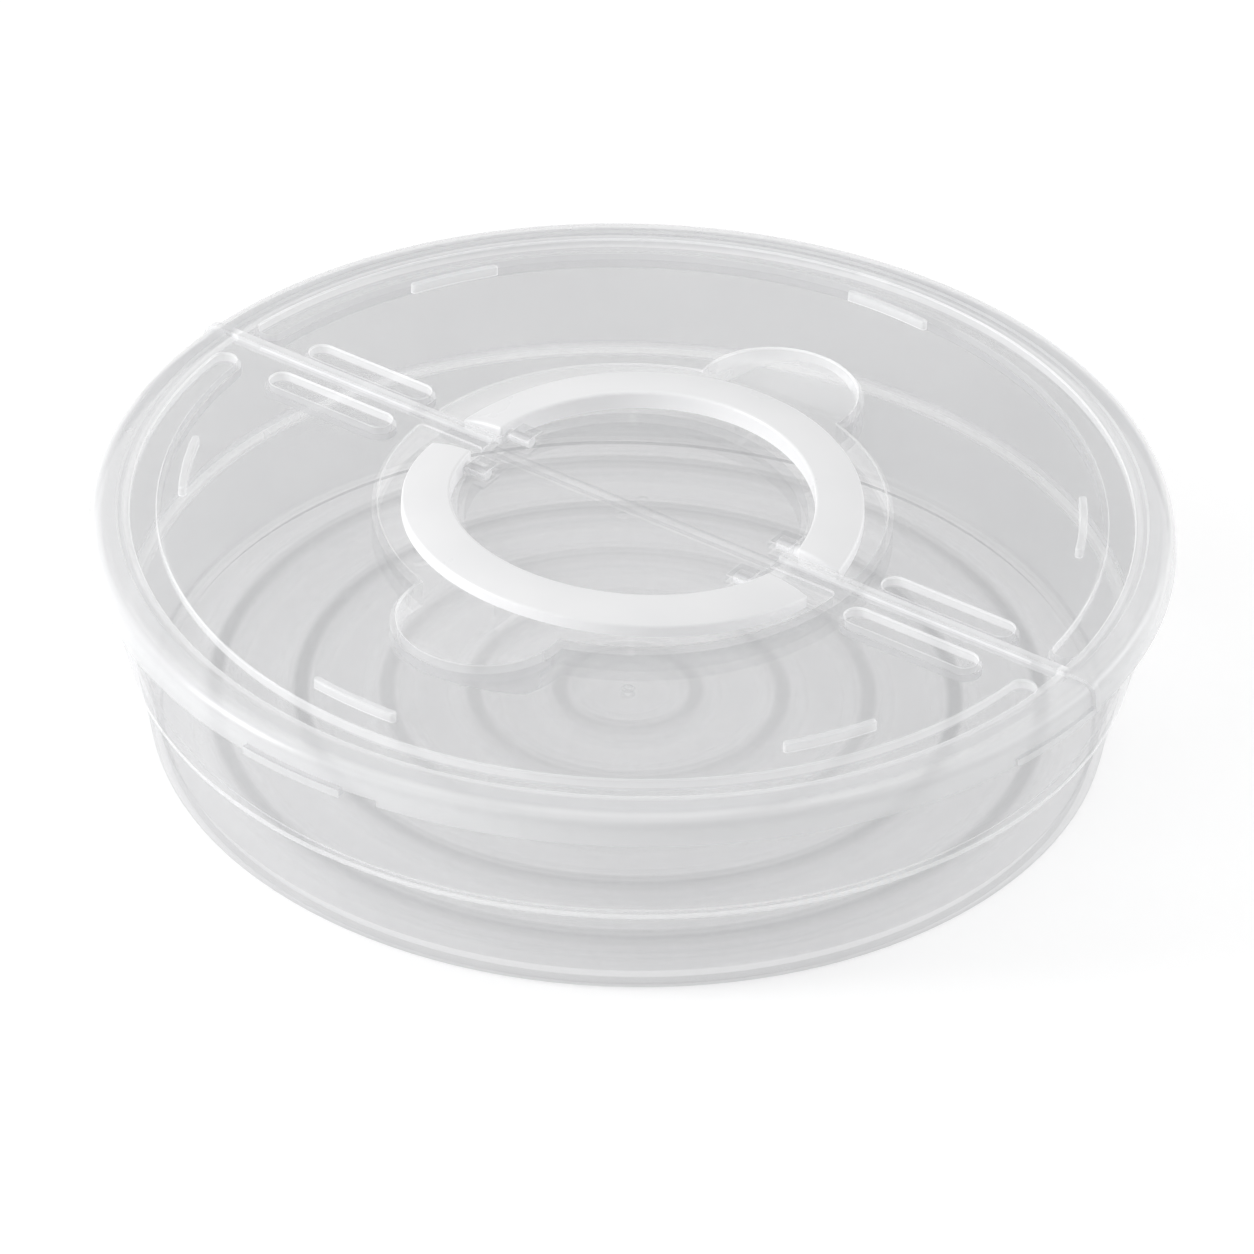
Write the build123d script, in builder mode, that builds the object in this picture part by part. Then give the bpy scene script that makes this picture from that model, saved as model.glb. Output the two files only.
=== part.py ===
from build123d import *
from math import asin, degrees, hypot, sqrt
import os

# Round food keeper: a stepped tray, a lid in two half discs that meet on the X axis,
# and a half-ring carry handle let into each lid half.
# Millimetres. Origin at the middle of the foot ring, +Z up, rear half of the lid on +Y.

# ---------------------------------------------------------------- lid sizes
lid_radius = 160.0          # outside of the skirt
lid_wall = 2.0              # panel, skirt and recess walls
shoulder_radius = 5.0       # outside rounding from the rim to the skirt
shoulder_inside = 2.0       # inside rounding under the rim
skirt_height = 9.0          # from the rim's top down to the skirt's lower edge
skirt_draft = 0.5           # how far the skirt leans in towards its top
rim_band = 9.0              # width of the raised band along the rim
rim_rise = 0.6              # the band's height over the panel
seam_gap = 0.5              # between the two straight edges
seam_bow = 0.5              # extra gap at the middle of the front edge

# ---------------------------------------------------------------- tray sizes
tray_height = 69.7
tray_wall = 2.0
floor_thickness = 2.0
foot_width = 3.0
foot_height = 1.8
foot_lean = 1.0             # slope of the foot ring's inner side
foot_corner = 1.4
foot_round = 0.8
floor_corner = 4.5          # inside rounding from the floor to the wall
rim_round = 0.8
step_round = 0.5
step_height = 30.2
lower_flare = 4.8           # how much the lower wall widens up to the step
upper_flare = 7.6           # how much the upper wall widens above it
step_width = 2.0
step_thickness = 1.2
step_slope = 0.9            # height of the sloped run into the step
upright_height = 7.5        # upright stretch of wall inside the skirt
floor_margin = 2.5          # flat floor between the last ripple and the foot ring
ripple_count = 5
ripple_first = 20.5         # radius of the innermost ripple's crest
ripple_half = 6.5           # from a ripple's crest to its foot
ripple_rise = 0.8           # half the height from a ripple's foot to its crest

# ---------------------------------------------------------------- fits
skirt_clearance = 0.6       # tray wall to the inside of the skirt
seat_gap = 0.3              # tray rim to the underside of the lid's rim
pin_clearance = 0.06        # radial, handle pin in its lug
pin_play = 0.3              # end to end, pin tip to the bottom of its bore
bore_wall = 0.9             # behind the bore

# ---------------------------------------------------------------- handle sizes
handle_inner = 53.8
handle_width = 14.3
handle_height = 6.0         # along the inner side
handle_fall = 2.6           # how much lower the outer side is
handle_crown = 0.6          # bulge of the top between the two sides
handle_wall = 1.6
handle_end = 7.65           # from the seam line to each end face
handle_edge = 0.9           # rounding along the top edges
rest_tilt = 4.8             # lean of the folded handle, its middle held up by the rests
pin_sink = 3.1              # from the panel's top down to the pin's axis
pin_height = 2.2            # pin's axis over the handle's underside
pin_radius = 1.8
pin_setback = 3.35          # from an end face to the pin's axis
pin_inset = 0.05            # the pin's root inside the handle's wall

# ---------------------------------------------------------------- recess sizes
trough_margin = 6.7         # handle's outer side to the trough's wall
trough_inner_margin = 2.2   # handle's inner side to the trough's wall
trough_corner = 2.0
swing_clearance = 0.9       # under the swinging handle ends
ridge_half = 4.0            # half the width of the ridge along the seam
disc_sink = 2.8             # from the panel's top down to the central disc
scoop_radius = 24.5
scoop_slope = 13.0          # length of the ramp at the back of the scoop
scoop_lip = 3.5             # depth at the far end of the ramp
rest_thickness = 2.0
rest_inset = 0.5            # from the handle's sides to a rest's ends
rest_angles = (55, 90, 125)
rest_gap = 0.1

# ---------------------------------------------------------------- lid details
groove_width = 7.6
groove_margin = 3.5         # from the raised band to the groove
groove_depth = 3.0
groove_end = 7.8            # from the seam line to the groove's tip
pocket_width = 8.0
pocket_depth = 3.0
pocket_from_trough = 7.25   # end of a pocket to the trough's wall
pocket_from_groove = 13.65  # other end to the groove
pocket_y = 9.8
recess_wall = 1.4           # round the grooves and pockets
rib_margin = 6.5            # from the groove to a rib
rib_length = 29.0
rib_width = 2.4
rib_height = 3.0
rib_edge = 0.6
rib_angles = (30, 88.9, 150)
edge_round = 0.5            # rounding along the top edges of the recesses
lug_width = 8.4
lug_length = 7.5
lug_height = 5.4
lug_gap = 0.45              # from a lug to the handle's inner side
lug_edge = 0.7
lip_width = 2.6
lip_rise = 1.2              # over the panel
disc_lip_width = 1.6
disc_lip_rise = 0.8         # over the central disc
lip_reach = 1.0             # outside the skirt
tab_centre = 88.9           # degrees round the half lid
tab_length = 34.0
tab_reach = 1.6
tab_height = 2.6
notch_length = 11.0
notch_height = 1.8
pad_length = 35.0
pad_reach = 1.0
pad_height = 2.4
gate_radius = 1.6           # moulding marks on the disc and in the middle of the floor
gate_rise = 0.4
gate_offset = 5.2
run_past = 1.0              # how far a cutting body runs past what it cuts
pick_reach = 0.01           # how near an edge or corner lies to the place it is picked by

# ---------------------------------------------------------------- derived places
skirt_inner = lid_radius - lid_wall
rim_radius = skirt_inner - skirt_clearance
rim_top = tray_height + seat_gap + lid_wall
panel_top = rim_top - rim_rise
skirt_bottom = rim_top - skirt_height
band_inner = lid_radius - rim_band
band_outer = lid_radius - skirt_draft - shoulder_radius
disc_top = panel_top - disc_sink

step_radius = rim_radius - upper_flare
lower_top_radius = step_radius - step_width
foot_radius = lower_top_radius - lower_flare
foot_inner = foot_radius - foot_width
wave_end = foot_inner - foot_lean - floor_margin
ripple_pitch = (wave_end - ripple_first) / (ripple_count - 0.5)
upright_base = tray_height - upright_height
floor_level = foot_height + floor_thickness + ripple_rise

handle_outer = handle_inner + handle_width
pin_y = handle_end + pin_setback
pin_z = panel_top - pin_sink
pin_axis = Axis((0, pin_y, pin_z), (1, 0, 0))
handle_bottom = pin_z - pin_height
end_swing = hypot(pin_setback, max(pin_height, handle_height - pin_height))

trough_inner = handle_inner - trough_inner_margin
trough_outer = handle_outer + trough_margin
trough_floor = pin_z - end_swing - swing_clearance
trough_bottom = trough_floor - lid_wall
lug_sweep = hypot(lug_width / 2, lug_height / 2)
lug_outer = sqrt(handle_inner**2 - (pin_y + lug_sweep) ** 2) - lug_gap
lug_inner = lug_outer - lug_length
lug_top = pin_z + lug_height / 2
lug_bottom = pin_z - lug_height / 2
pin_tip = lug_inner + bore_wall + pin_play
pin_root = sqrt((handle_inner + handle_wall) ** 2 - (pin_y + pin_radius) ** 2) - pin_inset
groove_radius = band_inner - groove_margin - groove_width / 2
groove_inner = groove_radius - groove_width / 2
rib_radius = groove_inner - rib_margin - rib_width / 2
pocket_length = groove_inner - trough_outer - pocket_from_trough - pocket_from_groove
pocket_x = trough_outer + pocket_from_trough + pocket_length / 2
tab_angle = degrees(tab_length / lid_radius)
notch_angle = degrees(notch_length / lid_radius)
pad_angle = degrees(pad_length / lid_radius)


def ripple_line(level):
    """Points of the floor's concentric ripples, three to each, about a level."""
    points = [(0, level - ripple_rise)]
    for count in range(ripple_count):
        crest = ripple_first + count * ripple_pitch
        points.append((crest - ripple_half, level - ripple_rise))
        points.append((crest, level + ripple_rise))
        points.append((crest + ripple_half, level - ripple_rise))
    points.append((wave_end, level - ripple_rise))
    return points


# ================================================================ base tray
top_wave = ripple_line(floor_level)
under_wave = ripple_line(floor_level - floor_thickness)
wall_foot = (foot_radius - tray_wall, top_wave[-1][1])

with BuildPart() as base_tray:
    with BuildSketch(Plane.XZ) as tray_section:
        with BuildLine():
            Spline(*under_wave, tangents=[(1, 0), (1, 0)])
            Polyline(
                under_wave[-1],
                (foot_inner - foot_lean, under_wave[-1][1]),
                (foot_inner, 0),
                (foot_radius - foot_corner, 0),
                (foot_radius, foot_corner),
                (lower_top_radius, step_height - step_slope),
                (step_radius, step_height),
                (step_radius, step_height + step_thickness),
                (rim_radius, upright_base),
                (rim_radius, tray_height),
                (rim_radius - tray_wall, tray_height),
                (rim_radius - tray_wall, upright_base),
                (step_radius - tray_wall, step_height + step_thickness + step_slope),
                (lower_top_radius - tray_wall, step_height),
                wall_foot,
                top_wave[-1],
            )
            Spline(*top_wave, tangents=[(1, 0), (1, 0)])
            Line(top_wave[0], under_wave[0])
        make_face()
        fillet(tray_section.vertices().sort_by_distance(wall_foot)[0], floor_corner)
        rim_corners = tray_section.vertices().group_by(Axis.Y)[-1]
        fillet(rim_corners, rim_round)
        step_corners = tray_section.vertices().filter_by_position(
            Axis.X, step_radius - pick_reach, step_radius + pick_reach
        )
        fillet(step_corners, step_round)
        foot_corners = tray_section.vertices().filter_by_position(
            Axis.X, foot_radius - foot_corner - pick_reach, foot_radius + pick_reach
        ).filter_by_position(Axis.Y, -pick_reach, foot_corner + pick_reach)
        fillet(foot_corners, foot_round)
    revolve(axis=Axis.Z)
    with BuildSketch(Plane.XY.offset(top_wave[0][1] - gate_rise)):
        Circle(gate_radius)
    extrude(amount=2 * gate_rise)
base_tray.part.label = "base_tray"


# ================================================================ lid halves
def lid_shell():
    """Half of the plain lid: a flat panel, the raised band, the rounded shoulder and the skirt."""
    with BuildPart() as shell:
        with BuildSketch(Plane.XZ):
            with BuildLine():
                Polyline(
                    (0, panel_top - lid_wall),
                    (0, panel_top),
                    (band_inner, panel_top),
                    (band_inner + rim_rise, rim_top),
                    (band_outer, rim_top),
                )
                RadiusArc(
                    (band_outer, rim_top),
                    (lid_radius - skirt_draft, rim_top - shoulder_radius),
                    shoulder_radius,
                )
                Polyline(
                    (lid_radius - skirt_draft, rim_top - shoulder_radius),
                    (lid_radius, skirt_bottom),
                    (skirt_inner, skirt_bottom),
                    (skirt_inner, rim_top - lid_wall - shoulder_inside),
                )
                RadiusArc(
                    (skirt_inner, rim_top - lid_wall - shoulder_inside),
                    (skirt_inner - shoulder_inside, rim_top - lid_wall),
                    -shoulder_inside,
                )
                Polyline(
                    (skirt_inner - shoulder_inside, rim_top - lid_wall),
                    (band_inner + rim_rise, rim_top - lid_wall),
                    (band_inner, panel_top - lid_wall),
                    (0, panel_top - lid_wall),
                )
            make_face()
        revolve(axis=Axis.Z, revolution_arc=180)
    return shell.part



def half_disc(height, radius):
    """Sketch of a half disc at a height, on the rear side of the seam line."""
    with BuildSketch(Plane.XY.offset(height)) as disc:
        Circle(radius)
        with Locations((0, radius)):
            Rectangle(2 * radius, 2 * radius, mode=Mode.INTERSECT)
    return disc.sketch


def half_ring(height, inner, outer, end, corner=0.0):
    """Sketch of a half annulus at a height, cut off straight at a distance from the seam line."""
    with BuildSketch(Plane.XY.offset(height)) as ring:
        Circle(outer)
        Circle(inner, mode=Mode.SUBTRACT)
        with Locations((0, end + outer)):
            Rectangle(3 * outer, 2 * outer, mode=Mode.INTERSECT)
        if corner > 0:
            fillet(ring.vertices(), corner)
    return ring.sketch


def arc_slot(height, radius, start, span, width):
    """Sketch of a round-ended slot that follows an arc about the lid's middle."""
    with BuildLine() as path:
        CenterArc((0, 0), radius, start, span)
    with BuildSketch(Plane.XY.offset(height)) as slot:
        SlotArc(path.edge(), width)
    return slot.sketch


def rim_sector(inner, outer, low, high, start, span):
    """A stretch of rectangular band around the rim."""
    with BuildPart() as sector:
        with BuildSketch(Plane.XZ.rotated((0, 0, start))):
            with Locations(((inner + outer) / 2, (low + high) / 2)):
                Rectangle(outer - inner, high - low)
        revolve(axis=Axis.Z, revolution_arc=span)
    return sector.part


def scoop(grow, top):
    """The finger scoop's hollow or, grown by a wall, the body around it."""
    near = sqrt(trough_outer**2 - scoop_radius**2) - run_past
    far = trough_outer + scoop_radius + grow
    with BuildPart() as body:
        with BuildSketch(Plane.YZ):
            Polygon(
                (near, trough_floor - grow),
                (far - grow - scoop_slope, trough_floor - grow),
                (far, panel_top - scoop_lip - grow),
                (far, top),
                (near, top),
                align=None,
            )
        extrude(amount=scoop_radius + grow, both=True)
        with BuildSketch(Plane.XY.offset(trough_bottom)):
            with Locations((0, trough_outer)):
                Circle(scoop_radius + grow)
        extrude(amount=rim_top, mode=Mode.INTERSECT)
    return body.part


def handle_rests():
    """Uprights in the trough, their tops leaning with the folded handle's underside."""
    with BuildPart() as rests:
        with BuildSketch(Plane.XY.offset(trough_floor)):
            for angle in rest_angles:
                with Locations(Location((0, 0, 0), (0, 0, angle))):
                    with Locations(((handle_inner + handle_outer) / 2, 0)):
                        Rectangle(handle_width - 2 * rest_inset, rest_thickness)
        extrude(amount=rim_top - trough_floor)
        with BuildPart(mode=Mode.PRIVATE) as above:
            with Locations((0, 0, handle_bottom - rest_gap)):
                Box(3 * handle_outer, 3 * handle_outer, rim_top,
                    align=(Align.CENTER, Align.CENTER, Align.MIN))
        add(above.part.rotate(pin_axis, rest_tilt), mode=Mode.SUBTRACT)
    return rests.part


def lid_body():
    """What both lid halves share, as the rear half, before the seam edge is trimmed."""
    boss_top = panel_top - lid_wall / 2
    over = rim_top + run_past
    groove_start = degrees(asin((groove_end + groove_width / 2) / groove_radius))
    groove_span = 180 - 2 * groove_start
    groove_floor = panel_top - groove_depth
    pocket_floor = panel_top - pocket_depth
    with BuildPart() as body:
        add(lid_shell())
        # walls and floors of the recesses
        extrude(
            half_ring(trough_bottom, trough_inner - lid_wall, trough_outer + lid_wall, 0),
            amount=boss_top - trough_bottom,
        )
        add(scoop(lid_wall, boss_top))
        extrude(
            arc_slot(groove_floor - lid_wall, groove_radius, groove_start, groove_span,
                     groove_width + 2 * recess_wall),
            amount=boss_top - groove_floor + lid_wall,
        )
        with BuildSketch(Plane.XY.offset(pocket_floor - recess_wall)):
            with Locations((-pocket_x, pocket_y), (pocket_x, pocket_y)):
                SlotOverall(pocket_length + 2 * recess_wall, pocket_width + 2 * recess_wall)
        extrude(amount=boss_top - pocket_floor + recess_wall)
        # the recesses
        extrude(
            half_ring(trough_floor, trough_inner, trough_outer, ridge_half, trough_corner),
            amount=over - trough_floor,
            mode=Mode.SUBTRACT,
        )
        add(scoop(0, over), mode=Mode.SUBTRACT)
        extrude(
            arc_slot(groove_floor, groove_radius, groove_start, groove_span, groove_width),
            amount=over - groove_floor,
            mode=Mode.SUBTRACT,
        )
        with BuildSketch(Plane.XY.offset(pocket_floor)):
            with Locations((-pocket_x, pocket_y), (pocket_x, pocket_y)):
                SlotOverall(pocket_length, pocket_width)
        extrude(amount=over - pocket_floor, mode=Mode.SUBTRACT)
        # the central disc, a step lower than the panel
        with BuildSketch(Plane.XY.offset(disc_top)):
            Circle(trough_inner)
        extrude(amount=over - disc_top, mode=Mode.SUBTRACT)
        extrude(half_disc(disc_top - lid_wall, trough_inner), amount=lid_wall)
        with BuildSketch(Plane.XY.offset(disc_top - gate_rise)):
            with Locations((0, gate_offset)):
                Circle(gate_radius)
        extrude(amount=2 * gate_rise)
        # soft edges where the recesses meet the panel
        panel_edges = body.edges().filter_by_position(
            Axis.Z, panel_top - pick_reach, panel_top + pick_reach
        )
        recess_edges = [
            edge
            for edge in panel_edges
            if edge.center().Y > pick_reach
            and abs(hypot((edge @ 0).X, (edge @ 0).Y) - band_inner) > pick_reach
        ]
        fillet(recess_edges, edge_round)
        # raised ribs
        rib_span = degrees((rib_length - rib_width) / rib_radius)
        for angle in rib_angles:
            extrude(
                arc_slot(panel_top, rib_radius, angle - rib_span / 2, rib_span, rib_width),
                amount=rib_height,
            )
        rib_tops = body.edges().filter_by_position(
            Axis.Z, panel_top + rib_height - pick_reach, panel_top + rib_height + pick_reach
        )
        fillet(rib_tops, rib_edge)
        add(handle_rests())
        # pivot lugs
        for side in (-1, 1):
            with BuildSketch(Plane.XY.offset(lug_bottom)):
                with Locations((side * (lug_inner + lug_outer) / 2, pin_y)):
                    Rectangle(lug_length, lug_width)
            extrude(amount=lug_top - lug_bottom)
        lug_edges = body.edges().filter_by_position(
            Axis.Z, lug_top - pick_reach, lug_top + pick_reach
        )
        fillet(lug_edges, lug_edge)
        for side in (-1, 1):
            with BuildSketch(Plane.YZ.offset(side * (lug_inner + bore_wall))):
                with Locations((pin_y, pin_z)):
                    Circle(pin_radius + pin_clearance)
            extrude(amount=side * lug_length, mode=Mode.SUBTRACT)
        # lift tab on the skirt, with a small notch beside it
        add(
            rim_sector(
                skirt_inner + lid_wall / 2,
                lid_radius + tab_reach,
                skirt_bottom,
                skirt_bottom + tab_height,
                tab_centre - tab_angle / 2,
                tab_angle,
            )
        )
        add(
            rim_sector(
                skirt_inner - run_past,
                lid_radius + tab_reach,
                skirt_bottom - run_past,
                skirt_bottom + notch_height,
                tab_centre + tab_angle / 2,
                notch_angle,
            ),
            mode=Mode.SUBTRACT,
        )
    return body.part


def seam_cut():
    """Thin slab along the seam: half of it comes off each straight edge."""
    with BuildPart() as slab:
        with Locations((0, 0, rim_top)):
            Box(3 * lid_radius, seam_gap, 2 * lid_radius)
    return slab.part


shared_body = lid_body()

with BuildPart() as rear_lid_half:
    add(shared_body)
    # raised lip along the straight edge, over the shoulder and down the skirt
    lip_top = panel_top + lip_rise
    lip_radius = lid_radius + lip_reach
    with BuildSketch(Plane.XZ) as lip_section:
        with BuildLine():
            Polyline(
                (trough_inner, panel_top - lid_wall / 2),
                (trough_inner, lip_top),
                (band_outer + lip_reach, lip_top),
            )
            RadiusArc(
                (band_outer + lip_reach, lip_top),
                (lip_radius - skirt_draft, lip_top - shoulder_radius),
                shoulder_radius,
            )
            Polyline(
                (lip_radius - skirt_draft, lip_top - shoulder_radius),
                (lip_radius, skirt_bottom),
                (lid_radius - lid_wall / 2, skirt_bottom),
                (lid_radius - lid_wall / 2, rim_top - shoulder_radius),
            )
            RadiusArc(
                (lid_radius - lid_wall / 2, rim_top - shoulder_radius),
                (lid_radius - shoulder_radius, rim_top - lid_wall / 2),
                lid_wall / 2 - shoulder_radius,
            )
            Polyline(
                (lid_radius - shoulder_radius, rim_top - lid_wall / 2),
                (band_inner, rim_top - lid_wall / 2),
                (band_inner, panel_top - lid_wall / 2),
                (trough_inner, panel_top - lid_wall / 2),
            )
        make_face()
        mirror(about=Plane.YZ)
    extrude(amount=-seam_gap / 2 - lip_width)
    # a lower lip across the central disc
    with Locations((0, disc_lip_width / 2 + seam_gap / 2, disc_top)):
        Box(2 * trough_inner - lid_wall, disc_lip_width, 2 * disc_lip_rise)
    add(seam_cut(), mode=Mode.SUBTRACT)
rear_lid_half.part.label = "rear_lid_half"

with BuildPart() as front_lid_half:
    add(shared_body, rotation=(0, 0, 180))
    # thicker stretches of skirt beside the seam
    for start in (180, 360 - pad_angle):
        add(
            rim_sector(
                skirt_inner + lid_wall / 2,
                lid_radius + pad_reach,
                skirt_bottom,
                skirt_bottom + pad_height,
                start,
                pad_angle,
            )
        )
    add(seam_cut(), mode=Mode.SUBTRACT)
    # the disc's edge bows away from the seam
    with BuildSketch(Plane.XY.offset(disc_top - 2 * lid_wall)):
        with BuildLine():
            ThreePointArc(
                (-trough_inner, -seam_gap / 2),
                (0, -seam_gap / 2 - seam_bow),
                (trough_inner, -seam_gap / 2),
            )
            Line((trough_inner, -seam_gap / 2), (-trough_inner, -seam_gap / 2))
        make_face()
    extrude(amount=4 * lid_wall, mode=Mode.SUBTRACT)
front_lid_half.part.label = "front_lid_half"


# ================================================================ handles
def handle_ring(inset):
    """The handle's solid half ring or, inset by a wall, the hollow underneath it."""
    inner = handle_inner + inset
    outer = handle_outer - inset
    high = handle_bottom + handle_height - inset
    low = high - handle_fall
    crown = (high + low) / 2 + handle_crown
    with BuildPart() as ring:
        with BuildSketch(Plane.XZ):
            with BuildLine():
                ThreePointArc((inner, high), ((inner + outer) / 2, crown), (outer, low))
                Polyline((outer, low), (outer, handle_bottom), (inner, handle_bottom), (inner, high))
            make_face()
        revolve(axis=Axis.Z, revolution_arc=180)
        with Locations((0, (handle_end + inset) / 2, handle_bottom)):
            Box(3 * outer, handle_end + inset, 3 * handle_height, mode=Mode.SUBTRACT)
    return ring.part


with BuildPart() as flat_handle:
    add(handle_ring(0))
    end_corners = flat_handle.edges().filter_by(Axis.Z).filter_by_position(
        Axis.Y, handle_end - pick_reach, handle_end + pick_reach
    )
    fillet(end_corners, handle_edge)
    handle_crest = (0, (handle_inner + handle_outer) / 2, handle_bottom + handle_height)
    fillet(flat_handle.faces().sort_by_distance(handle_crest)[0].edges(), handle_edge)
    add(handle_ring(handle_wall), mode=Mode.SUBTRACT)
    for side in (-1, 1):
        with BuildSketch(Plane.YZ.offset(side * pin_tip)):
            with Locations((pin_y, pin_z)):
                Circle(pin_radius)
        extrude(amount=side * (pin_root - pin_tip))

with BuildPart() as rear_handle:
    add(flat_handle.part.rotate(pin_axis, rest_tilt))
rear_handle.part.label = "rear_handle"

with BuildPart() as front_handle:
    add(rear_handle.part, rotation=(0, 0, 180))
front_handle.part.label = "front_handle"


# ================================================================ files
os.makedirs("parts", exist_ok=True)
for piece in (base_tray, rear_lid_half, front_lid_half, rear_handle, front_handle):
    export_step(piece.part, f"parts/{piece.part.label}.step")
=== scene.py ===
import math

import bpy
from mathutils import Matrix, Vector

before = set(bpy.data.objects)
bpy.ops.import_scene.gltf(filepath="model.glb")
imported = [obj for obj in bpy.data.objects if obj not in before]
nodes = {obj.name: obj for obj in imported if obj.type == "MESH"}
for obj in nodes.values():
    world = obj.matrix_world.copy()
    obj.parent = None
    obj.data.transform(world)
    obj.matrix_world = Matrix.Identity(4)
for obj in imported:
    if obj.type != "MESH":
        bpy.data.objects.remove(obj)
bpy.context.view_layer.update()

# ---------------------------------------------------------------- places on the pieces
# Metres. Each pair is where a soft-edged mask starts and where it is full.
lid_radius = 0.160
lid_rim_start = (0.1475, 0.1495)
# a thin ring near the rim's start that the lid finish paints as a highlight
lid_bead_inside = (0.1466, 0.1476)
lid_bead_outside = (0.1490, 0.1500)
lid_border_start = (0.1380, 0.1390)
handle_zone_end = (0.079, 0.083)
panel_height = (0.0705, 0.0709)
recess_height = (0.0655, 0.0675)
raised_height = (0.0716, 0.0719)

ripple_first = 0.0205
ripple_pitch = 0.02578
# ripple crests get painted shade and their flanks painted highlight, within these distances from
# a crest
crest_shade = (0.0010, 0.0034)
flank_near = (0.0028, 0.0050)
flank_far = (0.0065, 0.0085)
outer_ripples = (0.085, 0.095)
floor_middle = (0.010, 0.012)
floor_end = (0.134, 0.137)
mark_inside = (0.0008, 0.0013)
mark_outside = (0.0019, 0.0024)
step_bottom = (0.0290, 0.0300)
step_top = (0.0318, 0.0330)
step_radius = (0.144, 0.146)
foot_top = (0.0022, 0.0035)
foot_radius = (0.138, 0.1395)

# how far a face leans: 0 lies flat, 1 stands upright
edge_slope = (0.08, 0.55)
skirt_slope = (0.7, 0.95)
wall_slope = (0.55, 0.9)

# ---------------------------------------------------------------- colours
white = (1.0, 1.0, 1.0, 1.0)
black = (0.0, 0.0, 0.0, 1.0)
lid_grey = (0.47, 0.473, 0.489, 1.0)
# painted highlight: the white that the lid's edges and rim are painted toward
lid_painted_highlight_white = (0.88, 0.883, 0.892, 1.0)
tray_grey = (0.43, 0.433, 0.448, 1.0)
# painted highlight: the white that the tray's step ring and ripple flanks are painted toward;
# the moulding mark takes it as its own colour
tray_painted_highlight_white = (0.90, 0.905, 0.91, 1.0)
# painted shade: the grey of the ripple crests and of the darkened foot ring
crest_painted_shade_grey = (0.22, 0.225, 0.235, 1.0)
handle_shade = (0.885, 0.888, 0.897, 1.0)
handle_white = (0.915, 0.916, 0.923, 1.0)
floor_white = (0.92, 0.92, 0.92, 1.0)
plastic_ior = 1.49


# ---------------------------------------------------------------- shader maths
class Value:
    """A socket of the tree in hand, with the arithmetic that the materials use."""

    def __init__(self, tree, socket):
        self.tree = tree
        self.socket = socket

    def maths(self, operation, *others, clamp=False):
        node = self.tree.nodes.new("ShaderNodeMath")
        node.operation = operation
        node.use_clamp = clamp
        for slot, entry in zip(node.inputs, (self, *others)):
            connect(self.tree, entry, slot)
        return Value(self.tree, node.outputs[0])

    def __add__(self, other):
        return self.maths("ADD", other)

    __radd__ = __add__

    def __mul__(self, other):
        return self.maths("MULTIPLY", other)

    __rmul__ = __mul__

    def __sub__(self, other):
        return self.maths("SUBTRACT", other)

    def __rsub__(self, other):
        return (self * -1.0) + other

    def __pow__(self, other):
        return self.maths("POWER", other)

    def absolute(self):
        return self.maths("ABSOLUTE")

    def clamped(self):
        return self.maths("ADD", 0.0, clamp=True)


def connect(tree, entry, slot):
    """Link a value to a socket, or set the socket to a constant."""
    if isinstance(entry, Value):
        tree.links.new(entry.socket, slot)
    else:
        slot.default_value = entry


class Finish:
    """A material under construction: its tree, its shader and one way to add any node."""

    def __init__(self, name):
        self.material = bpy.data.materials.new(name)
        self.material.use_nodes = True
        self.tree = self.material.node_tree
        self.shader = self.tree.nodes["Principled BSDF"]

    def node(self, kind, settings=(), out=0, **sockets):
        made = self.tree.nodes.new(kind)
        for key, value in dict(settings).items():
            setattr(made, key, value)
        for key, value in sockets.items():
            connect(self.tree, value, made.inputs[key.replace("_", " ")])
        return Value(self.tree, made.outputs[out])

    def feed(self, **sockets):
        for key, value in sockets.items():
            connect(self.tree, value, self.shader.inputs[key.replace("_", " ")])

    def place(self):
        return self.node("ShaderNodeTexCoord", out="Object")

    def part(self, vector, axis):
        return self.node("ShaderNodeSeparateXYZ", out=axis, Vector=vector)

    def blend(self, share, first, second):
        made = self.node("ShaderNodeMix", {"data_type": "RGBA"}, out=2, Factor=share)
        inputs = made.socket.node.inputs
        connect(self.tree, first, inputs[6])
        connect(self.tree, second, inputs[7])
        return made

    def over(self, value, edge):
        """0 below the edge's start and 1 beyond its end, with a soft change between them."""
        return self.node(
            "ShaderNodeMapRange",
            {"interpolation_type": "SMOOTHSTEP"},
            Value=value,
            From_Min=edge[0],
            From_Max=edge[1],
        )

    def under(self, value, edge):
        return 1.0 - self.over(value, edge)

    def noise(self, place, scale, detail):
        return self.node("ShaderNodeTexNoise", Vector=place, Scale=scale, Detail=detail)

    def fine_bump(self, grain, strength):
        return self.node("ShaderNodeBump", Strength=strength, Distance=0.0002, Height=grain)


# ---------------------------------------------------------------- finishes
def clear_finish(name):
    """A hazy clear plastic, with its place, its distance from the axis and its slope at hand."""
    finish = Finish(name)
    finish.spot = finish.place()
    across = finish.part(finish.spot, "X")
    along = finish.part(finish.spot, "Y")
    finish.height = finish.part(finish.spot, "Z")
    finish.radius = (across * across + along * along) ** 0.5
    normal = finish.node("ShaderNodeNewGeometry", out="Normal")
    upright = finish.part(normal, "Z")
    finish.slope = (1.0 - upright * upright).maths("MAXIMUM", 0.0) ** 0.5
    return finish


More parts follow.
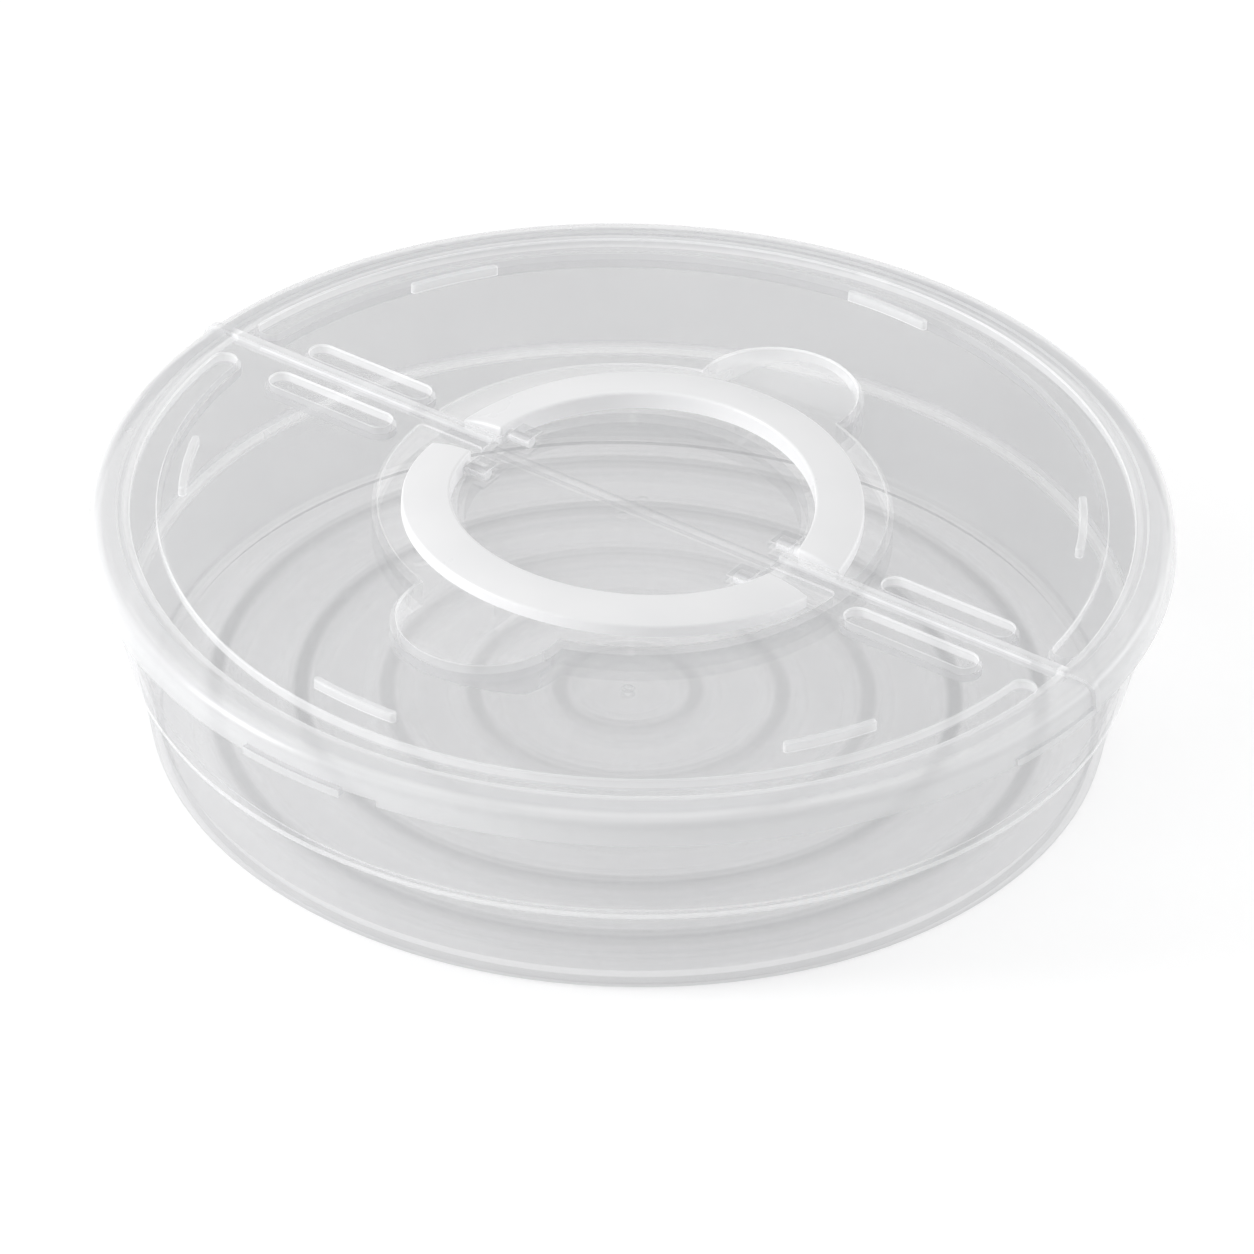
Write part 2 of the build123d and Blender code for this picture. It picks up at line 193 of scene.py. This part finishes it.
def close_clear(finish, haze, colour, painted_edge_glow):
    """Haze sets how much the plastic hides; the glow argument is painted highlight, a white
    emission that brightens edges and lines though they are no lamp.
    """
    mottle = finish.noise(finish.spot, 26.0, 4.0)
    grain = finish.noise(finish.spot, 420.0, 2.0)
    finish.feed(
        Base_Color=colour,
        Roughness=0.22,
        IOR=plastic_ior,
        Alpha=(haze * (0.90 + 0.20 * mottle)).clamped(),
        # painted highlight: white emission wherever the glow mask is high
        Emission_Color=finish.blend(painted_edge_glow.clamped(), black, white),
        Emission_Strength=0.35,
        Normal=finish.fine_bump(grain, 0.12),
    )
    return finish.material


def clear_lid():
    finish = clear_finish("clear_lid")
    radius, height = finish.radius, finish.height
    edge = finish.over(finish.slope, edge_slope)
    inner = finish.under(radius, lid_rim_start)
    rim = 1.0 - inner
    skirt = rim * finish.over(finish.slope, skirt_slope)
    centre = finish.under(radius, handle_zone_end)
    top = finish.over(height, panel_height)
    sunk = finish.under(height, recess_height) * inner
    line = edge * top * inner
    deep = edge * (1.0 - top) * inner
    raised = finish.over(height, raised_height) * inner
    bead = finish.over(radius, lid_bead_inside) * finish.under(radius, lid_bead_outside) * top
    border = finish.over(radius, lid_border_start) * inner
    soft = line * (1.0 - raised) * (1.0 - centre * 0.5) * (1.0 - border * 0.35)
    haze = (
        0.19
        + soft * 0.36
        + raised * (0.22 - centre * 0.10)
        + deep * (0.20 - centre * 0.30)
        + rim * (0.13 + edge * 0.12)
        - skirt * 0.06
        - sunk * 0.08
        + bead * 0.16
    )
    # painted highlight: edge lines, raised parts, recess walls, the rim and the bead ring are
    # whitened and given a white glow
    painted_highlight_and_mark_share = line * 1.2 + raised * 0.8 + deep * (0.8 - centre * 0.35) + rim * 0.86 + bead
    painted_edge_glow = (
        soft * 0.6
        + deep * (0.4 - centre * 0.32)
        + raised * 0.35
        + (rim - skirt) * edge * 0.2
        + bead * 0.2
    )
    colour = finish.blend(painted_highlight_and_mark_share.clamped(), lid_grey, lid_painted_highlight_white)
    return close_clear(finish, haze, colour, painted_edge_glow)


def clear_tray():
    finish = clear_finish("clear_tray")
    radius, height = finish.radius, finish.height
    wall = finish.over(finish.slope, wall_slope)
    step = finish.over(height, step_bottom) * finish.under(height, step_top)
    step = step * finish.over(radius, step_radius)
    foot = finish.under(height, foot_top) * finish.over(radius, foot_radius)
    # painted shade and painted highlight on the floor's ripples: each crest is painted dark,
    # more opaque on the outer ripples, between two flanks painted pale
    turn = (radius - ripple_first + ripple_pitch / 2).maths("FLOORED_MODULO", ripple_pitch)
    from_crest = (turn - ripple_pitch / 2).absolute()
    floor = finish.under(radius, floor_end) * finish.over(radius, floor_middle)
    crest_painted_shade = finish.under(from_crest, crest_shade) * floor
    flank_painted_highlight = finish.over(from_crest, flank_near) * finish.under(from_crest, flank_far) * floor
    outer = finish.over(radius, outer_ripples)
    # the small moulding mark in the middle
    mark = finish.over(radius, mark_inside) * finish.under(radius, mark_outside)
    haze = (
        0.06
        + wall * 0.15
        + step * 0.14
        + foot * 0.09
        + crest_painted_shade * (0.07 + outer * 0.06)
        + flank_painted_highlight * 0.08
        + mark * 0.2
    )
    # painted highlight on the step ring and the ripple flanks; the moulding mark is whitened as
    # its own colour
    painted_highlight_and_mark_share = step + flank_painted_highlight + mark
    colour = finish.blend(painted_highlight_and_mark_share.clamped(), tray_grey, tray_painted_highlight_white)
    # painted shade: the ripple crests, and the foot ring at 0.45, are darkened toward the crest
    # grey
    colour = finish.blend((crest_painted_shade + foot * 0.45).clamped(), colour, crest_painted_shade_grey)
    # painted highlight: the step ring glows
    return close_clear(finish, haze, colour, step * 0.3)


def milky_plastic():
    finish = Finish("milky_plastic")
    place = finish.place()
    patch = finish.over(finish.noise(place, 38.0, 5.0), (0.3, 0.7))
    grain = finish.noise(place, 700.0, 2.0)
    finish.feed(
        Base_Color=finish.blend(patch, handle_shade, handle_white),
        Roughness=0.27 + patch * 0.07,
        # painted light: a faint white emission brightens the handles though they are no lamp
        Emission_Color=white,
        Emission_Strength=0.04,
        IOR=plastic_ior,
        Normal=finish.fine_bump(grain, 0.06),
    )
    return finish.material


def pale_floor():
    finish = Finish("pale_floor")
    finish.feed(
        Base_Color=floor_white,
        Roughness=0.9,
        Emission_Color=white,
        Emission_Strength=0.27,
    )
    return finish.material


lid_finish = clear_lid()
handle_finish = milky_plastic()
finishes = {
    "base_tray": clear_tray(),
    "rear_lid_half": lid_finish,
    "front_lid_half": lid_finish,
    "rear_handle": handle_finish,
    "front_handle": handle_finish,
}
for name, material in finishes.items():
    nodes[name].data.materials.clear()
    nodes[name].data.materials.append(material)

# ---------------------------------------------------------------- stage
camera_azimuth = math.radians(34.5)
camera_elevation = math.radians(34.57)
camera_roll = -0.0251
camera_distance = 12.676 * lid_radius
camera_lift = 0.1345 * lid_radius
camera_side = -0.0016 * lid_radius
camera_lens = 194.3

floor_size = 12.0
floor_gap = 0.0004  # keeps the floor's face clear of the foot ring's
world_strength = 0.57

# place and size in metres, power in watts
lamps = {
    "key": ((-0.95, -0.95, 0.56), (0.55, 0.55), 12.0),
    "fill": ((1.2, 0.7, 0.9), (0.8, 0.8), 4.0),
    "back": ((0.8, 1.25, 0.55), (0.8, 0.4), 4.5),
}


def aim(direction, roll):
    """Axes of something that looks back along a direction, turned by a small roll."""
    back = direction.normalized()
    right = Vector((0, 0, 1)).cross(back).normalized()
    up = back.cross(right)
    level_right = right * math.cos(roll) - up * math.sin(roll)
    level_up = right * math.sin(roll) + up * math.cos(roll)
    return level_right, level_up, back


def set_up(name, data, place, axes):
    """Put a camera or a lamp at a place, along its axes."""
    made = bpy.data.objects.new(name, data)
    made.matrix_world = Matrix.Translation(place) @ Matrix(axes).transposed().to_4x4()
    bpy.context.scene.collection.objects.link(made)
    return made


def build_camera():
    direction = Vector(
        (
            math.sin(camera_azimuth) * math.cos(camera_elevation),
            -math.cos(camera_azimuth) * math.cos(camera_elevation),
            math.sin(camera_elevation),
        )
    )
    right, up, back = aim(direction, camera_roll)
    data = bpy.data.cameras.new("camera")
    data.lens = camera_lens
    data.sensor_width = 36.0
    data.clip_end = 50.0
    place = back * camera_distance + up * camera_lift + right * camera_side
    bpy.context.scene.camera = set_up("camera", data, place, (right, up, back))


def soft_light(name, place, size, power):
    data = bpy.data.lights.new(name, "AREA")
    data.shape = "RECTANGLE"
    data.size, data.size_y = size
    data.energy = power
    set_up(name, data, Vector(place), aim(Vector(place), 0.0))


def build_stage():
    bpy.ops.object.select_all(action="DESELECT")
    bpy.ops.mesh.primitive_plane_add(size=floor_size, location=(0, 0, -floor_gap))
    floor = bpy.context.object
    floor.name = "floor"
    floor.data.materials.append(pale_floor())
    world = bpy.data.worlds.new("studio")
    bpy.context.scene.world = world
    world.use_nodes = True
    background = world.node_tree.nodes["Background"]
    background.inputs["Color"].default_value = white
    background.inputs["Strength"].default_value = world_strength
    for name, (place, size, power) in lamps.items():
        soft_light(name, place, size, power)
    settings = bpy.context.scene
    settings.view_settings.view_transform = "Standard"
    settings.cycles.transparent_max_bounces = 32


build_camera()
build_stage()
